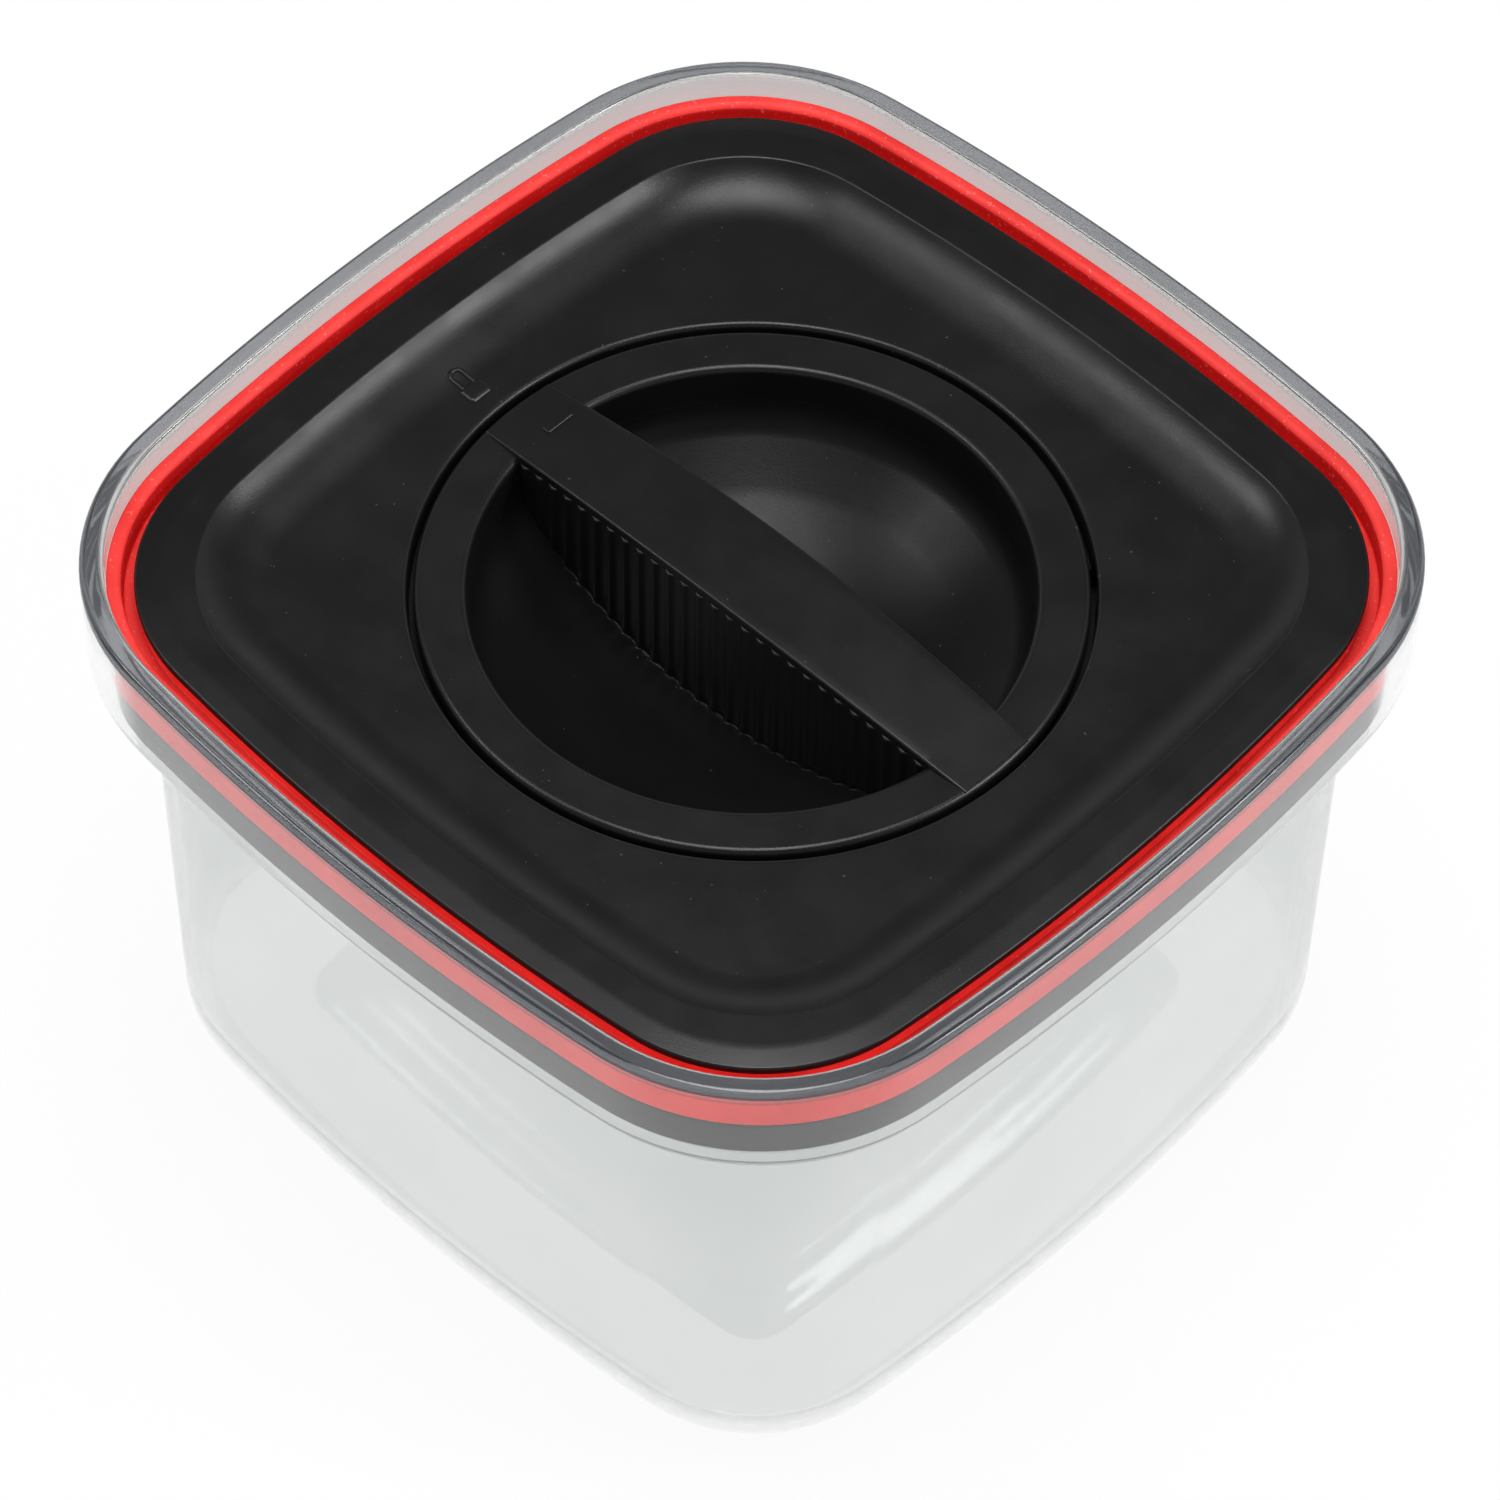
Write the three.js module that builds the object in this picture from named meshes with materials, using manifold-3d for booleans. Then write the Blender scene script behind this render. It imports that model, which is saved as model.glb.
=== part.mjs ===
// Square food container with a lid that seals when its sunken knob is turned.
// Millimetres, +Z up. The origin is the middle of the underside of the tub.
// X and Y run square to the sides, and the grip bar of the knob lies along X.
import * as THREE from 'three';
import { mergeVertices } from 'three/addons/utils/BufferGeometryUtils.js';
import Module from 'manifold-3d';

const wasm = await Module();
wasm.setup();

// Plan outline and height of the whole container
const rimWidth = 140;
const sideArcRadius = 356;
const rimCornerRadius = 32;
const height = 92;

// Clear tub
const collarWall = 3.1;
const rimEdgeRound = 0.8;
const shoulderRadius = 7.5;
const ledgeFillet = 1.2;
const tubWall = 2.5;
const tubDraft = 1.5;
const footRadius = 9.5;
const floorThickness = 3;
const floorFillet = 8;

// Lid cover
const lidRecess = 3.5;
const lidInset = 6.6;
const edgeRound = 0.6;
const flangeThickness = 1.5;
const borderWidth = 6.5;
const coveWidth = 8;
const dishDepth = 3.5;
const coverSkin = 2.2;
const boreWall = 2.2;
const boreLedge = 2;
const notchAngle = 47;
const notchLength = 5;
const guidePlace = 41;
const guideRadius = 3;

// Seal ring
const sealBase = 3.1;
const sealBaseWidth = 6.1;
const sealLipWidth = 2;
const sealLipRise = 2.3;

// Press plate
const plateInset = 4.2;
const plateRim = 4.2;
const plateBevel = 0.6;
const plateTravel = 1.8;
const plateWall = 2.4;
const plateDepth = 7.1;
const plateWeb = 2.4;
const sleeveWall = 2.8;
const guideSocketWall = 1.8;

// Twist knob
const knobRing = 6.6;
const knobFlange = 2;
const knobWall = 2;
const bowlRadius = 35.4;
const bowlWallDepth = 8;
const bowlTaper = 0.4;
const bowlDepth = 19.3;
const bowlEdgeRound = 0.8;
const barEndWidth = 11.3;
const barMiddleWidth = 13.5;
const barCrown = 2.8;
const turnAngle = 90;

// Slip ring under the knob
const slipThickness = 0.8;
const slipWidth = 2.6;

// Cam drum and the screws that hold it under the knob
const drumWall = 2.4;
const drumWeb = 2.2;
const drumWebRise = 2;
const drumOpening = 26;
const screwCircle = 30;
const screwCount = 4;
const screwRadius = 1;
const screwHeadRadius = 2.2;
const screwHeadHeight = 1.4;
const screwReach = 4.8;
const screwDriveRadius = 0.8;
const bossWall = 1.9;

// Follower pins that ride in the slots of the cam drum
const pinCount = 3;
const pinRadius = 1.4;
const pinDrop = 14;
const pinStart = 90;

// Cap under the hub, with its sealing ring
const capFloor = 1.8;
const capSpigot = 4.1;
const capSpigotWall = 4;
const ringSection = 0.8;

// Clearances
const fitGap = 0.3;
const turnGap = 0.4;
const knobGap = 0.8;
const headGap = 0.6;
const wallGap = 1;
const guideGap = 0.4;

// Steps of the round stretches
const arcSteps = 6;
const roundSteps = 48;
const smallSteps = 12;
const slotSteps = 15;
const sectionSteps = 4;
const edgeSteps = 2;
const bowlSteps = 6;
const barSteps = 12;
const ringSteps = 6;

// Levels, worked out from the rim down
const lidTop = height - lidRecess;
const flangeUnder = lidTop - flangeThickness;
const dishFloor = lidTop - dishDepth;
const sealBaseTop = flangeUnder - fitGap;
const sealBottom = sealBaseTop - sealBase;
const plateTop = sealBottom - fitGap;
const plateRimBottom = plateTop - plateRim;
const ledgeTop = plateRimBottom - plateTravel - fitGap;
const shoulderLevel = ledgeTop + shoulderRadius - collarWall;
const webBottom = plateRimBottom - plateDepth;
const webTop = webBottom + plateWeb;
const knobUnder = dishFloor - knobFlange;
const slipTop = knobUnder - fitGap;
const boreLedgeTop = slipTop - slipThickness - fitGap;
const boreLedgeBottom = boreLedgeTop - boreLedge;
const drumTop = boreLedgeBottom - fitGap;
const bowlUnder = dishFloor - bowlDepth - knobWall;
const drumWebTop = bowlUnder + drumWebRise;
const drumBottom = drumWebTop - drumWeb;
const bossFoot = drumWebTop + fitGap;
const screwHeadTop = drumBottom - fitGap;
const screwHeadBottom = screwHeadTop - screwHeadHeight;
const capTop = screwHeadBottom - headGap;
const sleeveBottom = capTop - capSpigot + fitGap;
const sleeveTop = boreLedgeBottom - plateTravel;
const pinLevel = dishFloor - pinDrop;

// Radii and insets that follow from the fits
const knobRadius = bowlRadius + knobRing;
const boreRadius = knobRadius + knobGap;
const cupRadius = bowlRadius + knobWall;
const throatRadius = cupRadius + turnGap;
const drumInner = cupRadius + wallGap;
const drumOuter = drumInner + drumWall;
const sleeveInner = drumOuter + turnGap;
const sleeveOuter = sleeveInner + sleeveWall;
const sealInset = collarWall + fitGap;
const sealInnerInset = sealInset + sealBaseWidth;
const spigotInset = sealInnerInset + fitGap;
const neckInset = shoulderRadius;
const footInset = neckInset + tubDraft;
const plateWallInset = neckInset + tubWall + wallGap;
const plateInnerInset = plateWallInset + plateWall;
const axisInset = rimWidth / 2;

// Finishes
const satinBlack = new THREE.MeshStandardMaterial({ color: 0x1c1c1c, roughness: 0.45, metalness: 0 });
const innerBlack = new THREE.MeshStandardMaterial({ color: 0x161616, roughness: 0.6, metalness: 0 });
const redSilicone = new THREE.MeshStandardMaterial({ color: 0xd8211f, roughness: 0.6, metalness: 0 });
const paleAcetal = new THREE.MeshStandardMaterial({ color: 0xd9d6cc, roughness: 0.4, metalness: 0 });
const greyRubber = new THREE.MeshStandardMaterial({ color: 0x55585a, roughness: 0.7, metalness: 0 });
const steel = new THREE.MeshStandardMaterial({ color: 0xb9bcc0, roughness: 0.3, metalness: 1 });
const clearPlastic = new THREE.MeshStandardMaterial({
  color: 0xe6ebea,
  roughness: 0.08,
  metalness: 0,
  transparent: true,
  opacity: 0.35,
});

// The rounded square at an inset from the rim: gently bowed sides that run into round corners.
function outline(inset) {
  const side = sideArcRadius - inset;
  const corner = rimCornerRadius - inset;
  const sideCentre = rimWidth / 2 - sideArcRadius;
  const cornerCentre = (sideCentre + Math.sqrt(2 * (side - corner) ** 2 - sideCentre ** 2)) / 2;
  const sideHalf = Math.atan2(cornerCentre, cornerCentre - sideCentre);
  const points = [];
  for (let quarter = 0; quarter < 4; quarter += 1) {
    const turn = (quarter * Math.PI) / 2;
    const sideArc = new THREE.EllipseCurve(sideCentre, 0, side, side, -sideHalf, sideHalf);
    const cornerArc = new THREE.EllipseCurve(
      cornerCentre, cornerCentre, corner, corner, sideHalf, Math.PI / 2 - sideHalf,
    );
    for (const arc of [sideArc, cornerArc]) {
      for (const point of arc.getPoints(arcSteps).slice(0, -1)) {
        points.push(point.rotateAround(new THREE.Vector2(), turn));
      }
    }
  }
  return points;
}

// Points of an arc in a wall's section; angle 0 faces out of the wall and 90 faces up.
function sectionArc(inset, level, radius, from, to, steps = sectionSteps) {
  const points = [];
  for (let step = 0; step <= steps; step += 1) {
    const angle = THREE.MathUtils.degToRad(from + ((to - from) * step) / steps);
    points.push([inset - radius * Math.cos(angle), level + radius * Math.sin(angle)]);
  }
  return points;
}

// A section carried round the rounded square: a lathe whose rings are drawn out to the outline.
function carried(section) {
  const rings = section.map(([inset]) => (inset < axisInset ? outline(inset) : null));
  const count = arcSteps * 8;
  const profile = section.map(([inset, level]) => new THREE.Vector2(axisInset - inset, level));
  const geometry = new THREE.LatheGeometry(profile, count);
  const place = geometry.attributes.position;
  for (let step = 0; step <= count; step += 1) {
    section.forEach(([, level], index) => {
      const point = rings[index] ? rings[index][step % count] : new THREE.Vector2();
      place.setXYZ(step * section.length + index, point.x, point.y, level);
    });
  }
  return solidOf(geometry);
}

// A section of radius and level turned about the Z axis.
function turned(section, steps = roundSteps) {
  const profile = section.map(([radius, level]) => new THREE.Vector2(radius, level));
  return solidOf(new THREE.LatheGeometry(profile, steps).rotateX(Math.PI / 2));
}

// A plain disc or post between two levels.
function post(radius, bottom, top, steps = roundSteps) {
  const geometry = new THREE.CylinderGeometry(radius, radius, top - bottom, steps);
  return solidOf(geometry.rotateX(Math.PI / 2).translate(0, 0, (bottom + top) / 2));
}

// A post lying along X from one radius out to another.
function radialPost(radius, from, to, level) {
  const geometry = new THREE.CylinderGeometry(radius, radius, to - from, smallSteps);
  return solidOf(geometry.rotateZ(Math.PI / 2).translate((from + to) / 2, 0, level));
}

function solidOf(geometry) {
  geometry.deleteAttribute('normal');
  geometry.deleteAttribute('uv');
  const merged = mergeVertices(geometry);
  const index = merged.index.array;
  const triangles = [];
  for (let start = 0; start < index.length; start += 3) {
    const corners = [index[start], index[start + 1], index[start + 2]];
    if (new Set(corners).size === 3) triangles.push(...corners);
  }
  return new wasm.Manifold(new wasm.Mesh({
    numProp: 3,
    vertProperties: Float32Array.from(merged.attributes.position.array),
    triVerts: Uint32Array.from(triangles),
  }));
}

function meshOf(name, solid, material) {
  const { vertProperties, triVerts } = solid.getMesh();
  const geometry = new THREE.BufferGeometry();
  geometry.setAttribute('position', new THREE.BufferAttribute(vertProperties, 3));
  geometry.setIndex(new THREE.BufferAttribute(triVerts, 1));
  geometry.computeVertexNormals();
  const mesh = new THREE.Mesh(geometry, material);
  mesh.name = name;
  return mesh;
}

function spun(solid, degrees) {
  return solid.rotate([0, 0, degrees]);
}

function guidePlaces() {
  return [1, -1].flatMap((x) => [1, -1].map((y) => [x * guidePlace, y * guidePlace, 0]));
}

function screwAngles() {
  return Array.from({ length: screwCount }, (_, index) => ((index + 0.5) * 360) / screwCount);
}

function pinAngles() {
  return Array.from({ length: pinCount }, (_, index) => pinStart + (index * 360) / pinCount);
}

// Tub: flat foot, drafted wall, a round shoulder, and the collar that the seal presses on.
function tub() {
  const innerFoot = footInset + tubWall + floorFillet;
  const rimEdgeLevel = height - rimEdgeRound;
  return carried([
    [axisInset, 0],
    ...sectionArc(footInset + footRadius, footRadius, footRadius, -90, 0),
    ...sectionArc(shoulderRadius, shoulderLevel, shoulderRadius, -90, 0),
    ...sectionArc(rimEdgeRound, rimEdgeLevel, rimEdgeRound, 0, 90, edgeSteps),
    ...sectionArc(collarWall - rimEdgeRound, rimEdgeLevel, rimEdgeRound, 90, 180, edgeSteps),
    ...sectionArc(collarWall + ledgeFillet, ledgeTop + ledgeFillet, ledgeFillet, 0, -90, edgeSteps),
    [neckInset + tubWall, ledgeTop],
    ...sectionArc(innerFoot, floorThickness + floorFillet, floorFillet, 0, -90),
    [axisInset, floorThickness],
  ]);
}

// Lid cover: flat border, a cove down to the dish, the knob's bore with its ledge, and four guide posts.
function lidCover() {
  const lipInset = lidInset + borderWidth;
  const coveFoot = lipInset + coveWidth;
  const coveRadius = (coveWidth ** 2 + dishDepth ** 2) / (2 * dishDepth);
  const coveStart = -THREE.MathUtils.radToDeg(Math.asin((coveRadius - dishDepth) / coveRadius));
  const dishUnder = dishFloor - coverSkin;
  const shelf = plateTop + fitGap;
  const shelfInset = plateInnerInset + wallGap;
  const skin = carried([
    [axisInset, dishUnder],
    [shelfInset + (shelf - dishUnder), dishUnder],
    [shelfInset, shelf],
    [spigotInset, shelf],
    [spigotInset, flangeUnder],
    [lidInset, flangeUnder],
    ...sectionArc(lidInset + edgeRound, lidTop - edgeRound, edgeRound, 0, 90, edgeSteps),
    ...sectionArc(coveFoot, dishFloor + coveRadius, coveRadius, coveStart, -90, bowlSteps),
    [axisInset, dishFloor],
  ]);
  const hub = post(boreRadius + boreWall, boreLedgeBottom, dishFloor - coverSkin / 2);
  const bore = post(boreRadius, boreLedgeTop, height);
  const throat = post(throatRadius, 0, height);
  const notchWidth = boreRadius - throatRadius - slipWidth;
  const notchBox = new THREE.BoxGeometry(notchWidth, notchLength, height);
  const notch = solidOf(notchBox.translate(boreRadius - notchWidth / 2, 0, height / 2));
  const guide = post(guideRadius, webTop + wallGap, dishFloor - coverSkin / 2, smallSteps);
  let cover = skin.add(hub).subtract(bore).subtract(throat).subtract(spun(notch, notchAngle));
  for (const place of guidePlaces()) cover = cover.add(guide.translate(place));
  return cover;
}

// Seal ring: a base squeezed between cover and plate, with a lip that stands up by the collar.
function sealRing() {
  const lipInner = sealInset + sealLipWidth;
  const lipTop = sealBaseTop + sealLipRise;
  return carried([
    [sealInset, sealBottom],
    [sealInset, lipTop - edgeRound],
    [sealInset + edgeRound, lipTop],
    [lipInner - edgeRound, lipTop],
    [lipInner, lipTop - edgeRound],
    [lipInner, sealBaseTop],
    [sealInnerInset, sealBaseTop],
    [sealInnerInset, sealBottom],
    [sealInset, sealBottom],
  ]);
}

// Press plate: a rim under the seal, a square pan inside the tub's mouth, and the sleeve of the hub.
function pressPlate() {
  const pan = carried([
    [axisInset, webBottom],
    [plateWallInset + plateBevel, webBottom],
    [plateWallInset, webBottom + plateBevel],
    [plateWallInset, plateRimBottom],
    [plateInset + plateBevel, plateRimBottom],
    [plateInset, plateRimBottom + plateBevel],
    [plateInset, plateTop],
    [plateInnerInset, plateTop],
    [plateInnerInset, webTop],
    [axisInset, webTop],
  ]);
  const sleeve = post(sleeveOuter, sleeveBottom, sleeveTop);
  const hole = post(sleeveInner, 0, height);
  const socketTop = dishFloor - coverSkin - wallGap;
  const socketRadius = guideRadius + guideGap + guideSocketWall;
  const socket = post(socketRadius, webTop - plateWeb / 2, socketTop, smallSteps);
  const socketHole = post(guideRadius + guideGap, webTop, height, smallSteps);
  const pinHole = radialPost(pinRadius + fitGap, sleeveInner - wallGap, sleeveOuter + wallGap, pinLevel);
  let plate = pan.add(sleeve).subtract(hole);
  for (const place of guidePlaces()) {
    plate = plate.add(socket.translate(place)).subtract(socketHole.translate(place));
  }
  for (const angle of pinAngles()) plate = plate.subtract(spun(pinHole, angle));
  return plate;
}

// Points of the bowl's round floor, from the axis out to a radius.
function bowlFloor(thickness, outTo) {
  const edge = bowlRadius - bowlTaper;
  const rise = bowlDepth - bowlWallDepth;
  const centreToFloor = (edge ** 2 + rise ** 2) / (2 * rise);
  const centre = dishFloor - bowlDepth + centreToFloor;
  const radius = centreToFloor + thickness;
  const points = [];
  for (let step = 0; step <= bowlSteps; step += 1) {
    const out = (outTo * step) / bowlSteps;
    points.push([out, centre - Math.sqrt(radius ** 2 - out ** 2)]);
  }
  return points;
}

// Twist knob: a flat ring with a deep bowl, a crowned grip bar across it, and bosses for screws.
function twistKnob() {
  const cup = turned([
    ...bowlFloor(knobWall, cupRadius),
    [cupRadius, knobUnder],
    [knobRadius, knobUnder],
    [knobRadius, dishFloor - edgeRound],
    [knobRadius - edgeRound, dishFloor],
    [bowlRadius + bowlEdgeRound, dishFloor],
    [bowlRadius, dishFloor - bowlEdgeRound],
    ...bowlFloor(0, bowlRadius - bowlTaper).reverse(),
  ]);
  const boss = post(screwRadius + fitGap + bossWall, bossFoot, dishFloor - bowlWallDepth, smallSteps);
  const bossPlace = boss.translate([screwCircle, 0, 0]);
  const pilot = post(screwRadius + fitGap, 0, drumWebTop + screwReach + fitGap, smallSteps);
  const pilotPlace = pilot.translate([screwCircle, 0, 0]);
  const inside = turned([
    ...bowlFloor(knobWall / 2, cupRadius - knobWall / 2),
    [cupRadius - knobWall / 2, knobUnder + knobFlange / 2],
    [knobRadius - edgeRound, knobUnder + knobFlange / 2],
    [knobRadius - edgeRound, height],
    [0, height],
  ]);
  const backed = turned([
    ...bowlFloor(knobWall / 2, cupRadius - knobWall / 2),
    [cupRadius - knobWall / 2, 0],
    [0, 0],
  ].reverse());
  let knob = cup.add(gripBar().intersect(inside));
  for (const angle of screwAngles()) {
    knob = knob.add(spun(bossPlace, angle).intersect(backed)).subtract(spun(pilotPlace, angle));
  }
  return knob;
}

// Grip bar: crowned along its length, and a little wider in the middle than at its ends.
function gripBar() {
  const halfLength = knobRadius;
  const profile = new THREE.Shape();
  profile.moveTo(-halfLength, bowlUnder);
  profile.lineTo(halfLength, bowlUnder);
  profile.lineTo(halfLength, dishFloor);
  profile.quadraticCurveTo(0, dishFloor + 2 * barCrown, -halfLength, dishFloor);
  const block = new THREE.ExtrudeGeometry(profile, {
    depth: barMiddleWidth,
    bevelEnabled: false,
    curveSegments: barSteps,
  });
  block.rotateX(Math.PI / 2).translate(0, barMiddleWidth / 2, 0);
  const bow = 2 * barMiddleWidth - barEndWidth;
  const plan = new THREE.Shape();
  plan.moveTo(-halfLength, -barEndWidth / 2);
  plan.quadraticCurveTo(0, -bow / 2, halfLength, -barEndWidth / 2);
  plan.lineTo(halfLength, barEndWidth / 2);
  plan.quadraticCurveTo(0, bow / 2, -halfLength, barEndWidth / 2);
  const sides = new THREE.ExtrudeGeometry(plan, {
    depth: height,
    bevelEnabled: false,
    curveSegments: barSteps,
  });
  return solidOf(block).intersect(solidOf(sides));
}

// Slip ring: a thin washer between the knob's flange and the ledge of the bore.
function slipRing() {
  const inner = throatRadius + turnGap;
  return turned([
    [inner, slipTop - slipThickness],
    [inner + slipWidth, slipTop - slipThickness],
    [inner + slipWidth, slipTop],
    [inner, slipTop],
    [inner, slipTop - slipThickness],
  ]);
}

// A slot that climbs round the drum, cut as a bent and slanted block.
function drumSlot() {
  const rise = plateTravel / turnAngle;
  const endAngle = THREE.MathUtils.radToDeg((pinRadius + fitGap) / drumInner);
  const sweep = turnAngle + 2 * endAngle;
  const slotHeight = 2 * (pinRadius + fitGap);
  const block = new THREE.BoxGeometry(sweep, drumWall + 2 * fitGap, slotHeight, slotSteps, 1, 1);
  const place = block.attributes.position;
  for (let index = 0; index < place.count; index += 1) {
    const along = place.getX(index) - turnAngle / 2;
    const angle = THREE.MathUtils.degToRad(along);
    const radius = (drumInner + drumOuter) / 2 - place.getY(index);
    const level = pinLevel + place.getZ(index) + rise * along;
    place.setXYZ(index, radius * Math.cos(angle), radius * Math.sin(angle), level);
  }
  return solidOf(block);
}

// Cam drum: a skirt with climbing slots that draws the plate up as the knob turns, screwed under the knob.
function camDrum() {
  let drum = turned([
    [drumOpening, drumBottom],
    [drumOuter, drumBottom],
    [drumOuter, drumTop],
    [drumInner, drumTop],
    [drumInner, drumWebTop],
    [drumOpening, drumWebTop],
    [drumOpening, drumBottom],
  ]);
  const hole = post(screwRadius + fitGap, 0, height, smallSteps).translate([screwCircle, 0, 0]);
  for (const angle of screwAngles()) drum = drum.subtract(spun(hole, angle));
  for (const angle of pinAngles()) drum = drum.subtract(spun(drumSlot(), angle));
  return drum;
}

// Screw: a round head with a drive recess, and a plain shank.
function drumScrew(angle) {
  const headEdge = screwHeadHeight / 2;
  const screw = turned([
    [0, screwHeadBottom + headEdge],
    [screwDriveRadius, screwHeadBottom + headEdge],
    [screwDriveRadius, screwHeadBottom],
    [screwHeadRadius - headEdge, screwHeadBottom],
    [screwHeadRadius, screwHeadBottom + headEdge],
    [screwHeadRadius, screwHeadTop],
    [screwRadius, screwHeadTop],
    [screwRadius, drumWebTop + screwReach - screwRadius],
    [0, drumWebTop + screwReach],
  ], smallSteps);
  return spun(screw.translate([screwCircle, 0, 0]), angle);
}

function followerPin(angle) {
  return spun(radialPost(pinRadius, drumInner + fitGap, sleeveOuter + fitGap, pinLevel), angle);
}

// Hub cap: closes the sleeve from below, with a groove round its spigot for the sealing ring.
function grooveLevel() {
  return capTop - capSpigot / 2;
}

function hubCap() {
  const spigot = sleeveInner - turnGap;
  const groove = ringSection + fitGap;
  const grooveFoot = sleeveInner - fitGap - 2 * ringSection - fitGap;
  const floorTop = capTop - capSpigot;
  return turned([
    [0, floorTop - capFloor],
    [sleeveOuter, floorTop - capFloor],
    [sleeveOuter, floorTop],
    [spigot, floorTop],
    [spigot, grooveLevel() - groove],
    [grooveFoot, grooveLevel() - groove],
    [grooveFoot, grooveLevel() + groove],
    [spigot, grooveLevel() + groove],
    [spigot, capTop],
    [spigot - capSpigotWall, capTop],
    [spigot - capSpigotWall, floorTop],
    [0, floorTop],
  ]);
}

function capRing() {
  const centre = sleeveInner - fitGap - ringSection;
  const section = sectionArc(-centre, grooveLevel(), ringSection, -180, 180, ringSteps);
  return turned(section.map(([inset, level]) => [-inset, level]));
}

const container = new THREE.Group();
container.name = 'food_storage_container';
container.add(
  meshOf('tub', tub(), clearPlastic),
  meshOf('lid_cover', lidCover(), satinBlack),
  meshOf('seal_ring', sealRing(), redSilicone),
  meshOf('press_plate', pressPlate(), innerBlack),
  meshOf('twist_knob', twistKnob(), satinBlack),
  meshOf('slip_ring', slipRing(), paleAcetal),
  meshOf('cam_drum', camDrum(), paleAcetal),
  meshOf('hub_cap', hubCap(), innerBlack),
  meshOf('cap_ring', capRing(), greyRubber),
);
screwAngles().forEach((angle, index) => {
  container.add(meshOf(`drum_screw_${index + 1}`, drumScrew(angle), steel));
});
pinAngles().forEach((angle, index) => {
  container.add(meshOf(`follower_pin_${index + 1}`, followerPin(angle), steel));
});

export default container;
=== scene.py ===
import math
import bmesh
import bpy
from mathutils import Matrix, Vector


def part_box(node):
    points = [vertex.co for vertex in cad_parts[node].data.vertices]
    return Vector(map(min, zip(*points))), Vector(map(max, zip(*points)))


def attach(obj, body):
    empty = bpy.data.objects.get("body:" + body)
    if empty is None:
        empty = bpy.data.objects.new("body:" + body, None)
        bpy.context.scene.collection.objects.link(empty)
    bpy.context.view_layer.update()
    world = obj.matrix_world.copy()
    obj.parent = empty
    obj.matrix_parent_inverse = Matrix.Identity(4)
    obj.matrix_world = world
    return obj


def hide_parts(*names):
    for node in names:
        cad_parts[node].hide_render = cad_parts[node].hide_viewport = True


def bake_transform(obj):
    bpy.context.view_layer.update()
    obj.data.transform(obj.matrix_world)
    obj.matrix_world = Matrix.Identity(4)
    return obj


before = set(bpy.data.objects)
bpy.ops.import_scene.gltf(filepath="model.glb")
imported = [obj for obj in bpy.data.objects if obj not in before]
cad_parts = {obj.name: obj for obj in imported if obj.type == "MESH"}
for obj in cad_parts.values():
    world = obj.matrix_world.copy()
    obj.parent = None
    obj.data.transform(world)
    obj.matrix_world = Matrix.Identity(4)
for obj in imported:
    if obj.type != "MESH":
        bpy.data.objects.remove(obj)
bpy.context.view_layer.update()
mm = 0.001
print("frame loaded:", len(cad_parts), "nodes")


# a node's lowest and highest corners in the frame, in millimetres
def nodeBox(name):
    return [[round(value / mm, 2) for value in corner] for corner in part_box(name)]


tubLow, tubHigh = nodeBox("tub")
coverLow, coverHigh = nodeBox("lid_cover")
plateLow = nodeBox("press_plate")[0]
pinLow, pinHigh = nodeBox("follower_pin_1")
knobHigh = nodeBox("twist_knob")[1]
capLow, capHigh = nodeBox("hub_cap")

# plan of the container: bowed sides that run into round corners, in millimetres
plan = {
    "width": tubHigh[0] - tubLow[0], "sideRadius": 356.0, "cornerRadius": 32.0,
    "sideSteps": 26, "cornerSteps": 22,
}
levels = {"rim": tubHigh[2], "lid": coverHigh[2], "dish": 85.0}
fineArc = 11.0  # degrees turned by each step of a rounded edge


def squareRing(inset, cornerGain=0.0):
    side = plan["sideRadius"] - inset
    corner = plan["cornerRadius"] - inset + cornerGain
    sideCentre = plan["width"] / 2 - plan["sideRadius"]
    cornerCentre = (sideCentre + math.sqrt(2 * (side - corner) ** 2 - sideCentre ** 2)) / 2
    half = math.atan2(cornerCentre, cornerCentre - sideCentre)
    arcs = [
        (sideCentre, 0.0, side, -half, half, plan["sideSteps"]),
        (cornerCentre, cornerCentre, corner, half, math.pi / 2 - half, plan["cornerSteps"]),
    ]
    points = []
    for quarter in range(4):
        turn = Matrix.Rotation(quarter * math.pi / 2, 2)
        for x, y, radius, start, end, steps in arcs:
            for step in range(steps):
                angle = start + (end - start) * step / steps
                points.append(turn @ Vector((x + radius * math.cos(angle), y + radius * math.sin(angle))))
    return points


ringAngles = [math.atan2(p.y, p.x) for p in squareRing(0.0)]


# a circle with as many points as a square ring, so that the two can be joined
def roundRing(radius):
    return [Vector((radius * math.cos(a), radius * math.sin(a))) for a in ringAngles]


# corners are (across, level, edge radius); the result is a line with arcs in place of the corners
def roundedLine(corners, closed=False):
    line = []
    count = len(corners)
    for index, (across, level, radius) in enumerate(corners):
        point = Vector((across, level))
        atEnd = not closed and index in (0, count - 1)
        if radius == 0 or atEnd:
            line.append(point)
            continue
        before = (Vector(corners[index - 1][:2]) - point).normalized()
        after = (Vector(corners[(index + 1) % count][:2]) - point).normalized()
        half = before.angle(after) / 2
        centre = point + (before + after).normalized() * radius / math.sin(half)
        start = point + before * radius / math.tan(half) - centre
        sweep = math.pi - 2 * half
        sign = 1 if before.x * after.y - before.y * after.x < 0 else -1
        steps = max(2, math.ceil(math.degrees(sweep) / fineArc))
        for step in range(steps + 1):
            line.append(centre + Matrix.Rotation(sign * sweep * step / steps, 2) @ start)
    return line


def squareRows(line, gainAt=None):
    rows = []
    for across, level in line:
        gain = gainAt(across) if gainAt else 0.0
        rows.append([Vector((p.x, p.y, level)) for p in squareRing(across, gain)])
    return rows


def roundRows(line):
    return [[Vector((p.x, p.y, level)) for p in roundRing(across)] for across, level in line]


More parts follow.
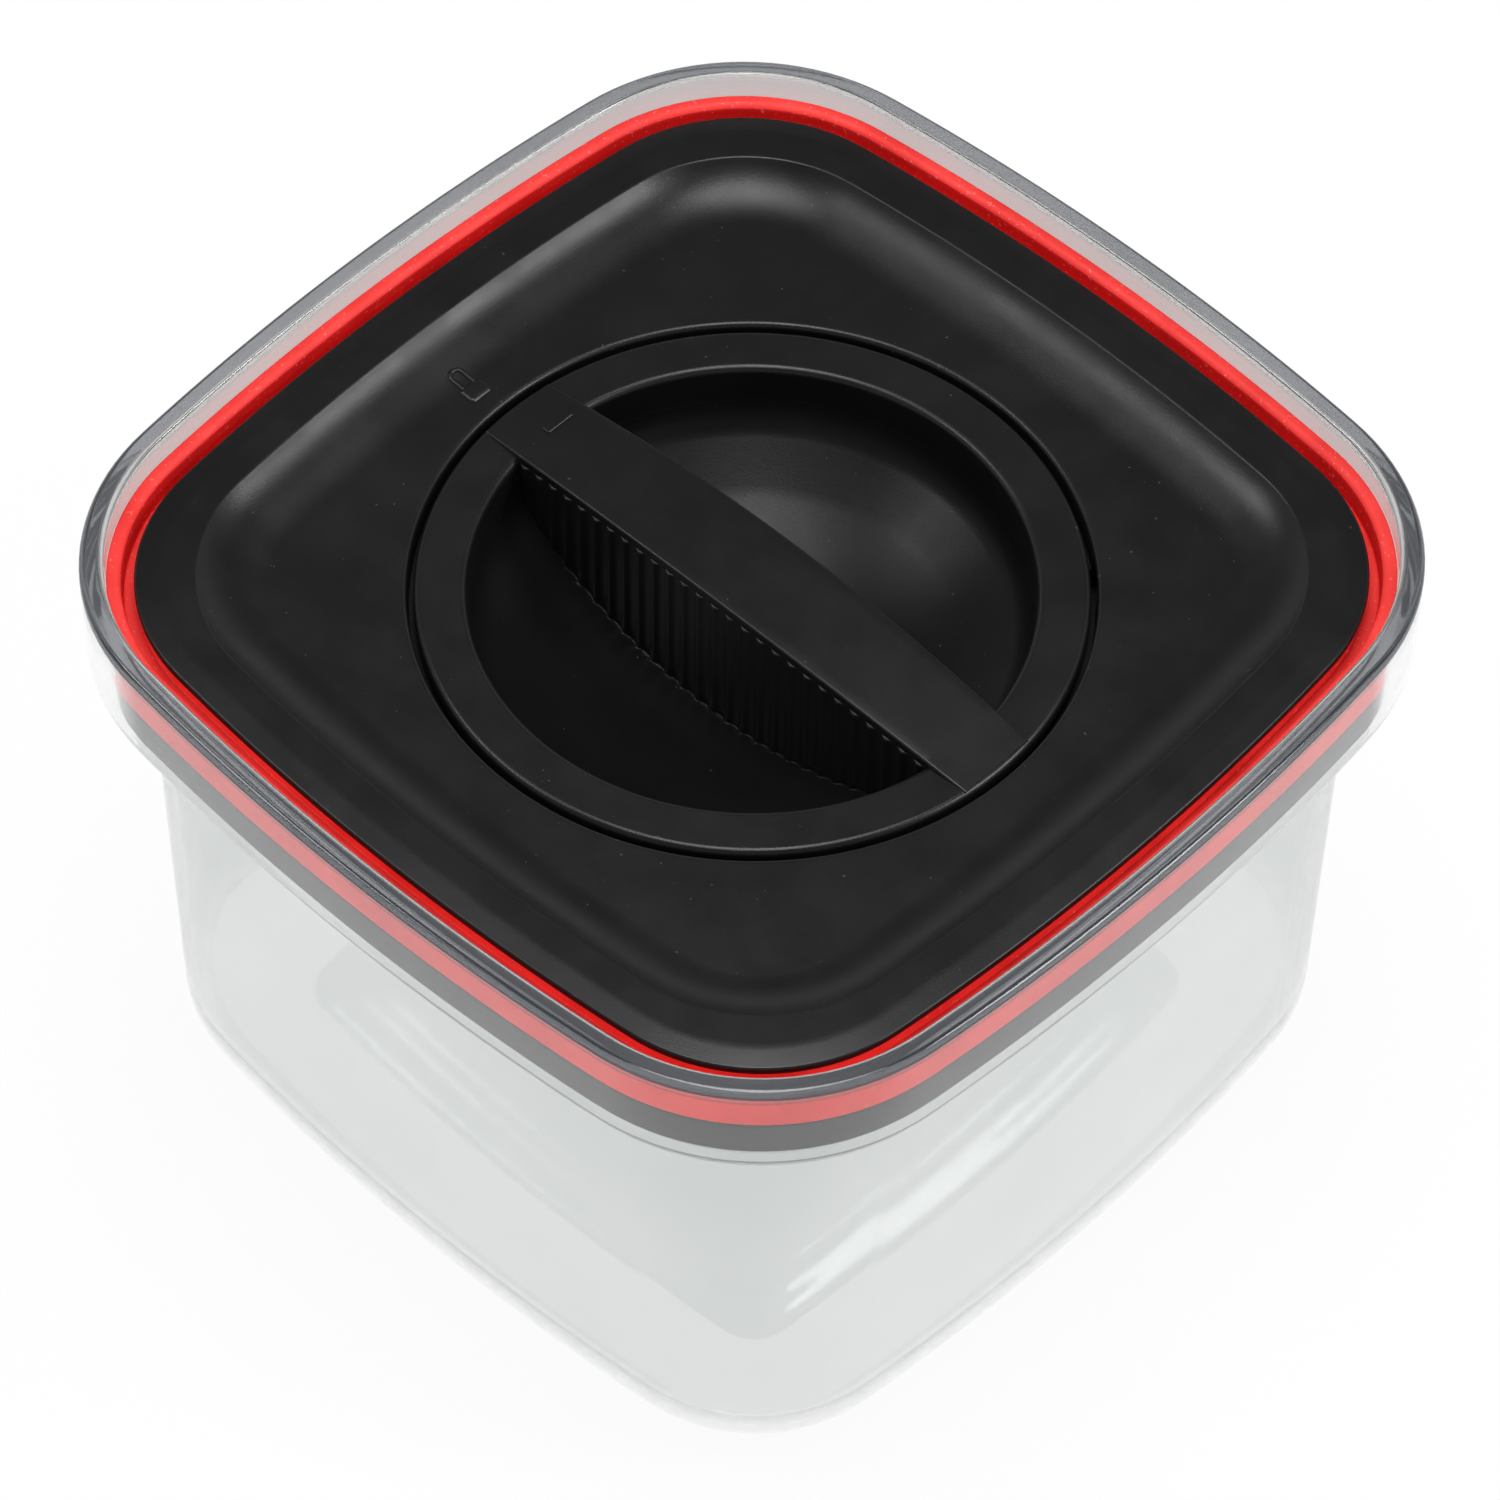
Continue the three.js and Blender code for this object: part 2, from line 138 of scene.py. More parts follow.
def circleRow(radius, level, centre=(0.0, 0.0), steps=40):
    row = []
    for step in range(steps):
        angle = 2 * math.pi * step / steps
        x = centre[0] + radius * math.cos(angle)
        y = centre[1] + radius * math.sin(angle)
        row.append(Vector((x, y, level)))
    return row


def pole(level, centre=(0.0, 0.0)):
    return [Vector((*centre, level))]


def placeMesh(name, shape):
    mesh = bpy.data.meshes.new(name)
    shape.to_mesh(mesh)
    shape.free()
    piece = bpy.data.objects.new(name, mesh)
    bpy.context.collection.objects.link(piece)
    return piece


# skins rows of points into one closed mesh, in metres
def skinMesh(name, rows, closed=False):
    shape = bmesh.new()
    made = [[shape.verts.new(p * mm) for p in row] for row in rows]
    pairs = list(zip(made, made[1:]))
    if closed:
        pairs.append((made[-1], made[0]))
    for first, second in pairs:
        count = max(len(first), len(second))
        for index in range(count):
            after = (index + 1) % count
            ends = [first[index % len(first)], first[after % len(first)]]
            ends += [second[after % len(second)], second[index % len(second)]]
            shape.faces.new(list(dict.fromkeys(ends)))
    bmesh.ops.recalc_face_normals(shape, faces=shape.faces)
    return placeMesh(name, shape)


def joinMeshes(name, pieces):
    shape = bmesh.new()
    for piece in pieces:
        shape.from_mesh(piece.data)
        bpy.data.objects.remove(piece)
    return placeMesh(name, shape)


def rod(name, line, centre=(0.0, 0.0)):
    rows = [circleRow(radius, level, centre) for radius, level in line]
    return skinMesh(name, [pole(line[0][1], centre), *rows, pole(line[-1][1], centre)])


def carve(piece, tool, operation):
    change = piece.modifiers.new("carve", "BOOLEAN")
    change.operation = operation
    change.solver = "EXACT"
    change.object = tool
    bpy.context.view_layer.update()
    ready = piece.evaluated_get(bpy.context.evaluated_depsgraph_get())
    mesh = bpy.data.meshes.new_from_object(ready)
    piece.modifiers.clear()
    piece.data = mesh
    bpy.data.objects.remove(tool)


# welds points closer than reach, in millimetres
def cleanMesh(piece, reach):
    shape = bmesh.new()
    shape.from_mesh(piece.data)
    bmesh.ops.remove_doubles(shape, verts=shape.verts, dist=reach * mm)
    bmesh.ops.dissolve_degenerate(shape, edges=shape.edges, dist=reach * mm / 2)
    bmesh.ops.recalc_face_normals(shape, faces=shape.faces)
    shape.to_mesh(piece.data)
    shape.free()


shading = {"sharpAngle": 40.0, "faceWeight": 60}


def finishSurface(piece):
    faces = piece.data.polygons
    faces.foreach_set("use_smooth", [True] * len(faces))
    piece.data.set_sharp_from_angle(angle=math.radians(shading["sharpAngle"]))
    weighted = piece.modifiers.new("even_shading", "WEIGHTED_NORMAL")
    weighted.keep_sharp = True
    weighted.weight = shading["faceWeight"]


def openSocket(sockets, name):
    return next((s for s in sockets if s.enabled and name in (None, s.name)), None)


# a node socket that takes part in sums
class Wire:
    def __init__(self, tree, out=None):
        self.tree = tree
        self.out = out

    # inputs go by name, or by number where several share a name
    def add(self, kind, settings=None, sockets=None, pick=None):
        node = self.tree.nodes.new(kind)
        for name, value in (settings or {}).items():
            setattr(node, name, value)
        for key, value in (sockets or {}).items():
            socket = node.inputs[key] if isinstance(key, int) else openSocket(node.inputs, key)
            if isinstance(value, Wire):
                self.tree.links.new(value.out, socket)
            else:
                socket.default_value = value
        return Wire(self.tree, openSocket(node.outputs, pick))

    def sum(self, operation, first, second):
        return self.add("ShaderNodeMath", {"operation": operation}, {0: first, 1: second})

    def __add__(self, other):
        return self.sum("ADD", self, other)

    def __radd__(self, other):
        return self.sum("ADD", other, self)

    def __sub__(self, other):
        return self.sum("SUBTRACT", self, other)

    def __rsub__(self, other):
        return self.sum("SUBTRACT", other, self)

    def __mul__(self, other):
        return self.sum("MULTIPLY", self, other)

    def __rmul__(self, other):
        return self.sum("MULTIPLY", other, self)


def newFinish(name):
    finish = bpy.data.materials.new(name)
    finish.use_nodes = True
    finish.node_tree.nodes.clear()
    return finish, Wire(finish.node_tree)


# noise stretched so that low to high becomes 0 to 1
def noise(wire, place, scale, detail=2.0, low=0.35, high=0.65, rough=0.55):
    grain = wire.add(
        "ShaderNodeTexNoise", {},
        {"Vector": place, "Scale": scale, "Detail": detail, "Roughness": rough}, "Fac",
    )
    return wire.add(
        "ShaderNodeMapRange", {}, {"Value": grain, "From Min": low, "From Max": high}, "Result"
    )


def mixColour(wire, factor, first, second):
    return wire.add(
        "ShaderNodeMix", {"data_type": "RGBA"}, {"Factor": factor, "A": first, "B": second}, "Result"
    )


def bumpNormal(wire, look, height):
    return wire.add(
        "ShaderNodeBump", {},
        {"Strength": look["bump"], "Distance": look["bumpDepth"] * mm, "Height": height}, "Normal",
    )


def opaque(colour):
    return (*colour, 1.0)


# moulded finish: colour drifts, roughness patches, fine grain, pale dust specks, and the painted glow that a
# look may carry
def mouldedFinish(name, look):
    finish, wire = newFinish(name)
    place = wire.add("ShaderNodeTexCoord", {}, {}, "Object")
    drift = noise(wire, place, look["driftScale"])
    grain = noise(wire, place, look["grainScale"], detail=3.0, low=0.3, high=0.7)
    dustFull = look["dustLevel"] + look["dustEdge"]
    dust = noise(wire, place, look["dustScale"], detail=1.0, low=look["dustLevel"], high=dustFull)
    patch = noise(wire, place, look["patchScale"], detail=4.0)
    tone = mixColour(wire, drift, opaque(look["dark"]), opaque(look["light"]))
    tone = mixColour(wire, dust * look["dustShare"], tone, opaque(look["dust"]))
    rough = look["rough"] + (patch - 0.5) * look["roughRange"] + dust * look["dustRough"]
    bump = bumpNormal(wire, look, grain + patch * look["patchBump"])
    shader = wire.add(
        "ShaderNodeBsdfPrincipled", {},
        {"Base Color": tone, "Roughness": rough, "Normal": bump, "Metallic": look["metal"],
         "IOR": look["ior"], "Emission Color": tone, "Emission Strength": look["paintedGlow"]},
        "BSDF",
    )
    wire.add("ShaderNodeOutputMaterial", {}, {"Surface": shader})
    return finish


# scales are per metre, bumpDepth is in millimetres
satinBlackLook = {
    "dark": (0.0044, 0.0045, 0.0045), "light": (0.006, 0.0061, 0.0061), "driftScale": 34.0,
    "grainScale": 3600.0, "patchScale": 120.0, "patchBump": 0.4, "bump": 0.12, "bumpDepth": 0.05,
    "dust": (0.12, 0.12, 0.12), "dustScale": 1300.0, "dustLevel": 0.78, "dustEdge": 0.03,
    "dustShare": 0.3, "dustRough": 0.1, "rough": 0.34, "roughRange": 0.06, "ior": 1.46,
    "metal": 0.0, "paintedGlow": 0.0,
}
bowlBlackLook = dict(satinBlackLook, ior=1.3)
innerBlackLook = dict(
    satinBlackLook, dark=(0.006, 0.006, 0.0064), light=(0.009, 0.009, 0.0094), rough=0.5
)
sealRedLook = dict(
    satinBlackLook, dark=(0.78, 0.026, 0.022), light=(0.9, 0.042, 0.036), driftScale=90.0,
    grainScale=2400.0, patchScale=300.0, bump=0.25, bumpDepth=0.06,
    dust=(0.95, 0.4, 0.37), dustScale=2100.0, dustLevel=0.68, dustShare=0.28,
    rough=0.55, roughRange=0.12, ior=1.41,
)
# painted light on the seal: a copy of the red that glows, and a darker copy that stands for shade
sealPaintedLightLook = dict(sealRedLook, paintedGlow=0.3)
sealPaintedShadeLook = dict(sealRedLook, dark=(0.52, 0.007, 0.007), light=(0.6, 0.01, 0.009))
acetalLook = dict(
    satinBlackLook, dark=(0.62, 0.6, 0.54), light=(0.7, 0.68, 0.62), dust=(0.4, 0.38, 0.34), rough=0.42
)
rubberLook = dict(
    satinBlackLook, dark=(0.08, 0.085, 0.088), light=(0.11, 0.115, 0.118), rough=0.68, bump=0.3
)
steelLook = dict(
    satinBlackLook, dark=(0.5, 0.51, 0.52), light=(0.62, 0.63, 0.64), dust=(0.3, 0.3, 0.3),
    rough=0.32, roughRange=0.16, metal=1.0, grainScale=5200.0,
)
satinBlack = mouldedFinish("satin_black", satinBlackLook)
bowlBlack = mouldedFinish("bowl_black", bowlBlackLook)
innerBlack = mouldedFinish("inner_black", innerBlackLook)
sealRed = mouldedFinish("red_silicone", sealRedLook)
sealPaintedLight = mouldedFinish("painted_light_silicone", sealPaintedLightLook)
sealPaintedShade = mouldedFinish("painted_shade_silicone", sealPaintedShadeLook)
paleAcetal = mouldedFinish("pale_acetal", acetalLook)
greyRubber = mouldedFinish("grey_rubber", rubberLook)
screwSteel = mouldedFinish("steel", steelLook)


# clear plastic: faint tint drift, scuffs in the gloss, and the slow waves of a moulded wall
def clearFinish(name, look):
    finish, wire = newFinish(name)
    place = wire.add("ShaderNodeTexCoord", {}, {}, "Object")
    drift = noise(wire, place, look["driftScale"])
    scuff = noise(wire, place, look["scuffScale"], detail=4.0, low=0.45, high=0.75)
    wave = noise(wire, place, look["waveScale"], detail=1.0)
    parts = {
        "Base Color": mixColour(wire, drift, opaque(look["dark"]), opaque(look["light"])),
        "Roughness": look["rough"] + scuff * look["roughRange"],
        "Normal": bumpNormal(wire, look, wave),
        "Transmission Weight": look["clear"], "IOR": look["ior"],
    }
    if "footTop" in look:  # thins out toward the foot
        level = wire.add("ShaderNodeSeparateXYZ", {}, {"Vector": place}, "Z")
        parts["Alpha"] = wire.add(
            "ShaderNodeMapRange", {"interpolation_type": "SMOOTHSTEP"},
            {"Value": level, "From Max": look["footTop"] * mm, "To Min": look["footSolid"]}, "Result",
        )
    shader = wire.add("ShaderNodeBsdfPrincipled", {}, parts, "BSDF")
    wire.add("ShaderNodeOutputMaterial", {}, {"Surface": shader})
    return finish


wallLook = {
    "dark": (0.95, 0.96, 0.955), "light": (0.97, 0.98, 0.975), "driftScale": 26.0, "scuffScale": 420.0,
    "rough": 0.035, "roughRange": 0.03, "waveScale": 55.0, "bump": 0.012, "bumpDepth": 0.3,
    "ior": 1.49, "clear": 0.985,
}
hazyLook = dict(
    wallLook, dark=(0.8, 0.825, 0.82), light=(0.84, 0.86, 0.855), clear=0.9, footSolid=0.15, footTop=16.0
)
panelLook = dict(
    wallLook, dark=(0.84, 0.865, 0.86), light=(0.88, 0.9, 0.895), clear=0.9, rough=0.012, roughRange=0.01
)
# painted shade on the rim: darker grey copies of the clear plastic, darkest on the outer round
rimShadeLook = dict(wallLook, dark=(0.41, 0.395, 0.39), light=(0.46, 0.445, 0.44), clear=0.8, bump=0.002)
topShadeLook = dict(rimShadeLook, dark=(0.13, 0.135, 0.147), light=(0.165, 0.17, 0.183), clear=0.58)
edgeShadeLook = dict(rimShadeLook, dark=(0.06, 0.065, 0.075), light=(0.08, 0.085, 0.095), clear=0.55)
clearPlastic = clearFinish("clear_plastic", wallLook)
hazyPlastic = clearFinish("hazy_plastic", hazyLook)
panelPlastic = clearFinish("panel_plastic", panelLook)
rimShadedPlastic = clearFinish("rim_painted_shade", rimShadeLook)
topShadedPlastic = clearFinish("top_painted_shade", topShadeLook)
edgeShadedPlastic = clearFinish("edge_painted_shade", edgeShadeLook)
print("finishes made")


def settle(piece, body, slot, finish, *nodes):
    piece.data.materials.clear()
    piece.data.materials.append(finish)
    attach(piece, body)
    if nodes:
        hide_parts(*nodes)


# gives each face the finish that finishAt names for it
def dressFaces(piece, finishAt, *finishes):
    for finish in finishes:
        piece.data.materials.append(finish)
    for face in piece.data.polygons:
        face.material_index = piece.data.materials.find(finishAt(face).name)


# how far a face leans outward: 1 for an outer wall, -1 for an inner one
def outwardLean(face):
    flat = Vector((face.normal.x, face.normal.y))
    return math.copysign(flat.length, flat.dot(face.center.xy))


# clear tub: foot, drafted wall, round shoulder, upright collar, and a raised panel with a bead in its base
tubSizes = {
    "footInset": 9.0, "footRound": 9.5, "wall": 1.6, "floor": 3.0, "floorRound": 8.0,
    "neckInset": 7.5, "neckRound": 2.0, "shoulderUnder": 74.3, "shoulderRound": 5.4,
    "collarWall": 3.1, "ledge": 75.9, "ledgeRound": 0.8, "throatRound": 1.0,
    "rimRound": 1.0, "shadeFrom": 88.15, "edgeLean": 0.2, "innerLean": -0.35,
    "panelInset": 26.4, "panelSlope": 5.4, "panelRise": 2.4, "panelSteps": 18, "panelCorner": 8.0,
    "beadInset": 34.2, "beadRadius": 3.2, "beadLean": 36.0, "beadSteps": 14, "beadLand": 3.0,
    "middle": 14.0, "gateRadius": 1.6, "gateSlope": 0.4, "gateRise": 0.35,
}


def makeTub(size):
    panelTop = size["floor"] + size["panelRise"]
    panelEdge = size["panelInset"] + size["panelSlope"]
    slope = []
    for step in range(size["panelSteps"] + 1):
        share = step / size["panelSteps"]
        rise = size["panelRise"] * (1 - math.cos(math.pi * share)) / 2
        slope.append((size["panelInset"] + size["panelSlope"] * share, size["floor"] + rise, 0.0))
    bead = []
    beadRadius, steepest = size["beadRadius"], math.radians(size["beadLean"])
    for step in range(size["beadSteps"] + 1):
        lean = steepest * (2 * step / size["beadSteps"] - 1)
        rise = beadRadius * (math.cos(lean) - math.cos(steepest))
        bead.append((size["beadInset"] + beadRadius * math.sin(lean), panelTop + rise, 0.0))
    line = roundedLine([
        (panelEdge, 0.0, 0.0),
        (size["footInset"], 0.0, size["footRound"]),
        (size["neckInset"], size["shoulderUnder"], size["neckRound"]),
        (0.0, size["shoulderUnder"], size["shoulderRound"]),
        (0.0, levels["rim"], size["rimRound"]),
        (size["collarWall"], levels["rim"], size["rimRound"]),
        (size["collarWall"], size["shadeFrom"], 0.0),
        (size["collarWall"], size["ledge"], size["ledgeRound"]),
        (size["neckInset"] + size["wall"], size["ledge"], size["throatRound"]),
        (size["footInset"] + size["wall"], size["floor"], size["floorRound"]),
        *slope,
        *bead,
        (size["beadInset"] + size["beadLand"], panelTop, 0.0),
    ])

    # the panel's corners are rounder than the wall's would be so far in
    def gainAt(inset):
        full = size["panelCorner"] - plan["cornerRadius"] + panelEdge
        share = (inset - size["panelInset"]) / size["panelSlope"]
        return full * max(0.0, share)

    gate = size["gateRadius"]
    under = [(gate, size["gateRise"]), (gate + size["gateSlope"], 0.0), (size["middle"], 0.0)]
    rows = [pole(size["gateRise"]), *roundRows(under), *squareRows(line, gainAt)]
    beadLands = 1  # the row inside the bead
    panelRows = len(rows) - len(slope) - len(bead) - beadLands
    rows += [*roundRows([(size["middle"], panelTop)]), pole(panelTop)]
    return skinMesh("tub_shell", rows), panelRows * len(ringAngles)


tubShell, panelStart = makeTub(tubSizes)


def tubFinishAt(face):
    lean, level = outwardLean(face), face.center.z
    if face.index >= panelStart:
        return panelPlastic
    # painted shade: the rim's outer round, its flat top and the inner face of the collar take the darker
    # grey copies
    if level > (levels["rim"] - tubSizes["rimRound"]) * mm:
        if lean > tubSizes["edgeLean"]:
            return edgeShadedPlastic
        return rimShadedPlastic if lean < tubSizes["innerLean"] else topShadedPlastic
    if level > tubSizes["shadeFrom"] * mm and lean < 0.0:
        return rimShadedPlastic
    # the wall below the collar is greyer and less clear
    return hazyPlastic if level < tubSizes["shoulderUnder"] * mm else clearPlastic


finishSurface(tubShell)
settle(tubShell, "tub", "clear_plastic", clearPlastic, "tub")
dressFaces(tubShell, tubFinishAt, hazyPlastic, panelPlastic, rimShadedPlastic, topShadedPlastic, edgeShadedPlastic)
print("tub made")

# lid cover: flat border, a cove down to the dish, the bore with its ledge, guide posts under it
coverSizes = {
    "inset": round(tubHigh[0] - coverHigh[0], 2), "edgeRound": 0.45, "edgeDrop": 0.45,
    "edgeReach": 2.8, "crownRound": 6.0, "flangeUnder": 87.0, "spigotInset": 9.8,
    "shelf": 83.6, "shelfInset": 14.4, "shelfRound": 0.4, "dishUnder": 82.8, "smallRound": 0.3,
    "lipInset": 13.1, "lipRound": 0.5, "coveFoot": 21.6, "coveSteps": 14, "gainFrom": 1.0, "cornerGain": 3.6,
    "bore": 42.8, "boreRound": 0.75, "boreLand": 1.2, "boreLedge": 81.6, "throat": 37.8,
    "ledgeUnder": 79.6, "hub": 45.4, "hubRound": 0.4,
    "postPlace": 41.0, "postRadius": 3.0, "postRound": 0.5, "postEnd": coverLow[2], "postRoot": 1.0,
    "notchAngle": 47.0, "notchLength": 6.4, "notchInner": 40.4, "notchMiddle": 42.0, "notchDepth": 0.7,
    "notchLow": 70.0, "notchHigh": 84.2,
}


def coveRadiusOf(size):
    depth = levels["lid"] - levels["dish"]
    width = size["coveFoot"] - size["lipInset"]
    return (width ** 2 + depth ** 2) / (2 * depth)


# height of the cove over the dish, at a distance out from the middle of a side
def coveRise(size, out):
    past = max(out - plan["width"] / 2 + size["coveFoot"], 0.0)
    radius = coveRadiusOf(size)
    return radius - math.sqrt(radius ** 2 - past ** 2)


def makeCover(size):
    coveRadius = coveRadiusOf(size)
    steepest = math.asin((size["coveFoot"] - size["lipInset"]) / coveRadius)
    cove = []
    for step in range(1, size["coveSteps"] + 1):
        lean = steepest * (1 - step / size["coveSteps"])
        across = size["coveFoot"] - coveRadius * math.sin(lean)
        cove.append((across, levels["dish"] + coveRadius * (1 - math.cos(lean)), 0.0))
    small = size["smallRound"]
    outer = roundedLine([
        (size["shelfInset"] + size["shelf"] - size["dishUnder"], size["dishUnder"], 0.0),
        (size["shelfInset"], size["shelf"], size["shelfRound"]),
        (size["spigotInset"], size["shelf"], small),
        (size["spigotInset"], size["flangeUnder"], small),
        (size["inset"], size["flangeUnder"], small),
        (size["inset"], levels["lid"] - size["edgeDrop"], size["edgeRound"]),
        (size["inset"] + size["edgeReach"], levels["lid"], size["crownRound"]),
        (size["lipInset"], levels["lid"], size["lipRound"]),
        *cove,
    ])
    inner = roundedLine([
        (size["bore"] + size["boreLand"], levels["dish"], 0.0),
        (size["bore"], levels["dish"], size["boreRound"]),
        (size["bore"], size["boreLedge"], small),
        (size["throat"], size["boreLedge"], small),
        (size["throat"], size["ledgeUnder"], small),
        (size["hub"], size["ledgeUnder"], size["hubRound"]),
        (size["hub"], size["dishUnder"], 0.0),
    ])

    # corners grow rounder from the border in to the cove
    def gainAt(inset):
        start = size["inset"] + size["gainFrom"]
        share = min(1.0, max(0.0, (inset - start) / (size["lipInset"] - start)))
        return size["cornerGain"] * share * share * (3 - 2 * share)

    return skinMesh("lid_dish", [*squareRows(outer, gainAt), *roundRows(inner)], closed=True)


postEnds = [(x * coverSizes["postPlace"], y * coverSizes["postPlace"]) for x in (1, -1) for y in (1, -1)]


def makePosts(size):
    line = roundedLine([
        (0.0, size["postEnd"], 0.0),
        (size["postRadius"], size["postEnd"], size["postRound"]),
        (size["postRadius"], size["dishUnder"] + size["postRoot"], 0.0),
    ])[1:]
    return joinMeshes("posts", [rod("post", line, place) for place in postEnds])


# small notch in the side of the bore
def makeNotch(size):
    half = size["notchLength"] / 2
    near, far = size["notchInner"], size["bore"] + size["notchDepth"]
    flat = [Vector((x, y, 0.0)) for x, y in ((near, -half), (far, -half), (far, half), (near, half))]
    turn = Matrix.Rotation(math.radians(size["notchAngle"]), 3, "Z")
    heights = (size["notchLow"], size["notchHigh"])
    rows = [[turn @ p + Vector((0, 0, level)) for p in flat] for level in heights]
    ends = [[turn @ Vector((size["notchMiddle"], 0, level))] for level in heights]
    return skinMesh("notch", [ends[0], *rows, ends[1]])


lidDish = makeCover(coverSizes)
carve(lidDish, makePosts(coverSizes), "UNION")
carve(lidDish, makeNotch(coverSizes), "DIFFERENCE")
finishSurface(lidDish)
settle(lidDish, "lid", "satin_black", satinBlack, "lid_cover")
print("lid cover made")

# seal: a base held between cover and plate, and a lip that stands up beside the collar
sealSizes = {
    "outer": 3.18, "bottom": 83.85, "footRound": 0.3, "lipTop": 88.4, "edgeRound": 0.2,
    "lipInner": 5.0, "innerRound": 1.0, "lipDraft": 0.15, "groove": 84.8, "lipFootRound": 0.35,
    "grooveInner": 7.2, "grooveRound": 0.3, "base": 86.7, "inner": 9.5, "baseRound": 0.2,
    "paintedLightLean": 0.55, "paintedShadeLean": -0.88,
}


def makeSeal(size):
    line = roundedLine([
        (size["outer"], size["bottom"], size["footRound"]),
        (size["outer"], size["lipTop"], size["edgeRound"]),
        (size["lipInner"], size["lipTop"], size["innerRound"]),
        (size["lipInner"] + size["lipDraft"], size["groove"], size["lipFootRound"]),
        (size["grooveInner"], size["groove"], size["grooveRound"]),
        (size["grooveInner"], size["base"], size["baseRound"]),
        (size["inner"], size["base"], size["baseRound"]),
        (size["inner"], size["bottom"], size["baseRound"]),
    ], closed=True)
    return skinMesh("seal_loop", squareRows(line), closed=True)


# the outer side glows as painted light for the light that comes through the clear collar, and the side
# toward the cover is a darker red as painted shade
def sealFinishAt(face):
    lean = outwardLean(face)
    if lean > sealSizes["paintedLightLean"]:
        return sealPaintedLight
    return sealPaintedShade if lean < sealSizes["paintedShadeLean"] else sealRed


sealLoop = makeSeal(sealSizes)
finishSurface(sealLoop)
dressFaces(sealLoop, sealFinishAt, sealRed, sealPaintedLight, sealPaintedShade)
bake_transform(sealLoop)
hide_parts("seal_ring")
print("seal made")

# press plate: rim under the seal, a square pan, the hub's sleeve, and sockets for the guide posts
plateSizes = {
    "inset": 3.5, "top": 83.5, "topRound": 0.5, "rimBottom": 78.0, "rimRound": 0.4,
    "wallInset": 11.0, "wallRound": 2.4, "neckRound": 0.6, "innerInset": 13.4, "innerRound": 0.4,
    "panRound": 1.0, "webInset": 24.0, "webBottom": 72.0, "webTop": 74.4,
    "sleeveOuter": 44.0, "sleeveInner": 41.2, "sleeveTop": 77.8, "sleeveBottom": plateLow[2],
    "sleeveRound": 0.5, "sleeveEdge": 0.3, "upperFillet": 0.8, "upperLand": 1.6,
    "lowerFillet": 1.2, "lowerLand": 2.0,
    "socketHole": 3.4, "socketRadius": 5.2, "socketTop": 81.8, "socketRoot": 1.0, "socketEdge": 0.4,
    "pinLevel": (pinLow[2] + pinHigh[2]) / 2, "pinHole": 1.7, "pinFrom": 38.0, "pinTo": 47.0,
    "pinCount": 3, "pinTurn": 90,
}


def makePlate(size):
    square = roundedLine([
        (size["webInset"], size["webBottom"], 0.0),
        (size["wallInset"], size["webBottom"], size["wallRound"]),
        (size["wallInset"], size["rimBottom"], size["neckRound"]),
        (size["inset"], size["rimBottom"], size["rimRound"]),
        (size["inset"], size["top"], size["topRound"]),
        (size["innerInset"], size["top"], size["innerRound"]),
        (size["innerInset"], size["webTop"], size["panRound"]),
        (size["webInset"], size["webTop"], 0.0),
    ])
    sleeve = roundedLine([
        (size["sleeveOuter"] + size["upperLand"], size["webTop"], 0.0),
        (size["sleeveOuter"], size["webTop"], size["upperFillet"]),
        (size["sleeveOuter"], size["sleeveTop"], size["sleeveRound"]),
        (size["sleeveInner"], size["sleeveTop"], size["sleeveRound"]),
        (size["sleeveInner"], size["sleeveBottom"], size["sleeveEdge"]),
        (size["sleeveOuter"], size["sleeveBottom"], size["sleeveRound"]),
        (size["sleeveOuter"], size["webBottom"], size["lowerFillet"]),
        (size["sleeveOuter"] + size["lowerLand"], size["webBottom"], 0.0),
    ])
    return skinMesh("press_pan", [*squareRows(square), *roundRows(sleeve)], closed=True)


def makeSockets(size):
    foot, edge = size["webTop"] - size["socketRoot"], size["socketEdge"]
    line = [
        (size["socketHole"], foot),
        (size["socketRadius"], foot),
        (size["socketRadius"], size["socketTop"] - edge),
        (size["socketRadius"] - edge, size["socketTop"]),
        (size["socketHole"], size["socketTop"]),
    ]
    sockets = []
    for place in postEnds:
        sockets.append(skinMesh("socket", [circleRow(r, z, place) for r, z in line], closed=True))
    return joinMeshes("sockets", sockets)


def makePinHoles(size):
    holes = []
    for index in range(size["pinCount"]):
        hole = rod("hole", [(size["pinHole"], size["pinFrom"]), (size["pinHole"], size["pinTo"])])
        angle = math.radians(size["pinTurn"] + index * 360 / size["pinCount"])
        lay = Matrix.Rotation(angle, 4, "Z") @ Matrix.Rotation(math.pi / 2, 4, "Y")
        hole.data.transform(Matrix.Translation((0, 0, size["pinLevel"] * mm)) @ lay)
        holes.append(hole)
    return joinMeshes("pin_holes", holes)


pressPan = makePlate(plateSizes)
carve(pressPan, makeSockets(plateSizes), "UNION")
carve(pressPan, makePinHoles(plateSizes), "DIFFERENCE")
finishSurface(pressPan)
settle(pressPan, "press_plate", "inner_black", innerBlack, "press_plate")
print("press plate made")

# twist knob: flat ring, deep bowl with a round floor, and screw bosses under it
knobSizes = {
    "radius": knobHigh[0], "edgeRound": 0.9, "under": 83.0, "underRound": 0.3, "cup": 37.4, "cupRound": 0.4,
    "bowl": 35.4, "bowlEdge": 1.0, "taper": 0.4, "wallDepth": 8.0, "depth": 19.3, "skin": 2.0,
    "floorRound": 6.0, "floorSteps": 22, "roundTakes": 5, "steps": 256,
    "bossPlace": 30.0, "bossRadius": 3.2, "bossEnd": 66.0, "bossCount": 4, "bossTurn": 45,
    "mattBelow": 1.0, "mattTilt": 0.2,
}


